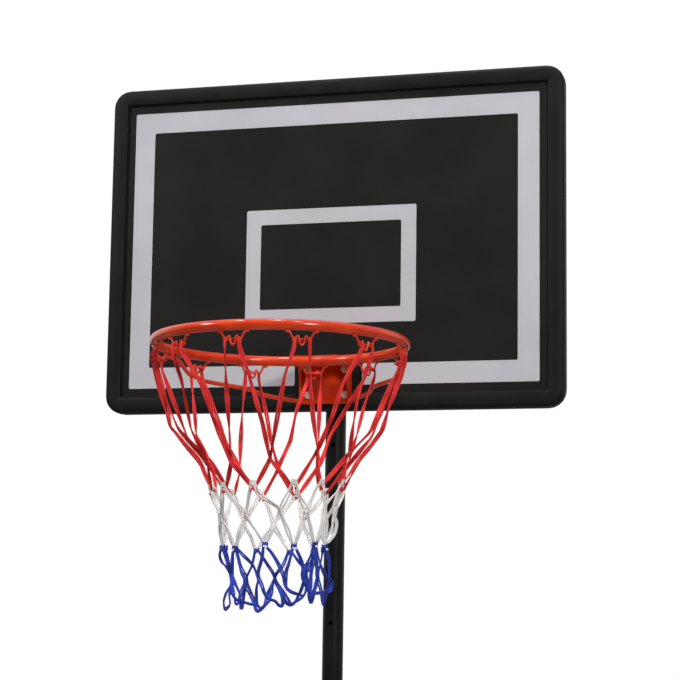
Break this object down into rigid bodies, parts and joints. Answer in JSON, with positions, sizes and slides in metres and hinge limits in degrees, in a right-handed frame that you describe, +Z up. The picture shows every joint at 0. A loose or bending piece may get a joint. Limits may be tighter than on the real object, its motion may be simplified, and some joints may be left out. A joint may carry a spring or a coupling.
{
  "type": "portable basketball stand",
  "caption": "Portable junior basketball stand: ballast tank on wheels, telescoping mast with a lock knob, framed backboard, ring with braces and a hooked cord net.",
  "frame": {"origin": "on the floor under the mast's axis, on the tank's flat underside", "axes": "+Z up along the mast; -Y towards the playing side, where the ring is; +X to the right seen from the playing side"},
  "size_m": [0.8, 1.1791, 2.5545],
  "materials": {
    "moulded_black": "moulded, satin black",
    "black_steel": "black powder coat, semi-gloss",
    "printed_sheet": "satin black sheet printed with a pale grey border band and target",
    "orange_steel": "glossy orange powder coat",
    "zinc_plate": "zinc plated, faintly yellow",
    "wheel_plastic": "moulded, matt black",
    "red_cord": "braided polyester",
    "white_cord": "braided polyester",
    "blue_cord": "braided polyester"
  },
  "bodies": {
    "base": {"base_tank": "moulded_black", "wheel_axle": "zinc_plate", "axle_cap_left": "zinc_plate", "axle_cap_right": "zinc_plate", "strut_left": "black_steel", "strut_right": "black_steel", "strut_foot_screw_left": "zinc_plate", "strut_foot_screw_right": "zinc_plate", "strut_bolt": "zinc_plate", "strut_nut": "zinc_plate", "pole_foot_plug": "moulded_black", "pole_lower": "black_steel", "pole_middle": "black_steel", "joint_bolt": "zinc_plate", "joint_nut": "zinc_plate", "guide_collar": "moulded_black"},
    "mast": {"mast_upper": "black_steel", "mast_top_cap": "moulded_black", "mast_glide": "moulded_black", "board_shell": "moulded_black", "board_face": "printed_sheet", "mast_saddle_lower": "moulded_black", "mast_saddle_upper": "moulded_black", "rear_bracket_lower": "black_steel", "rear_bracket_upper": "black_steel", "bracket_screw_left": "zinc_plate", "bracket_screw_right": "zinc_plate", "rim_bracket": "orange_steel", "rim_bolt_upper_left": "zinc_plate", "rim_bolt_upper_right": "zinc_plate", "rim_bolt_lower_left": "zinc_plate", "rim_bolt_lower_right": "zinc_plate", "rim_nut_upper_left": "zinc_plate", "rim_nut_upper_right": "zinc_plate", "rim_nut_lower_left": "zinc_plate", "rim_nut_lower_right": "zinc_plate", "rim_ring": "orange_steel", "brace_rod_left": "orange_steel", "brace_rod_right": "orange_steel", "net_hook_01": "orange_steel", "net_hook_02": "orange_steel", "net_hook_03": "orange_steel", "net_hook_04": "orange_steel", "net_hook_05": "orange_steel", "net_hook_06": "orange_steel", "net_hook_07": "orange_steel", "net_hook_08": "orange_steel", "net_hook_09": "orange_steel", "net_hook_10": "orange_steel", "net_hook_11": "orange_steel", "net_hook_12": "orange_steel", "net_red": "red_cord", "net_white": "white_cord", "net_blue": "blue_cord"},
    "wheel_left": {"wheel_left": "wheel_plastic"},
    "wheel_right": {"wheel_right": "wheel_plastic"},
    "filler_cap": {"filler_cap": "moulded_black"},
    "lock_knob": {"lock_knob": "moulded_black"}
  },
  "joints": [
    {"name": "mast_height", "type": "slide", "parent": "base", "child": "mast", "axis": [0, 0, 1], "range_m": [-0.45, 0.15]},
    {"name": "lock_knob_turn", "type": "hinge", "parent": "base", "child": "lock_knob", "pos_m": [0, 0.045, 1.475], "axis": [0, 1, 0], "continuous": true},
    {"name": "wheel_left_spin", "type": "hinge", "parent": "base", "child": "wheel_left", "pos_m": [-0.15, -0.202, 0.05], "axis": [1, 0, 0], "continuous": true},
    {"name": "wheel_right_spin", "type": "hinge", "parent": "base", "child": "wheel_right", "pos_m": [0.15, -0.202, 0.05], "axis": [1, 0, 0], "continuous": true},
    {"name": "filler_cap_lift", "type": "slide", "parent": "base", "child": "filler_cap", "axis": [0, 0, 1], "range_m": [0, 0.1]}
  ]
}
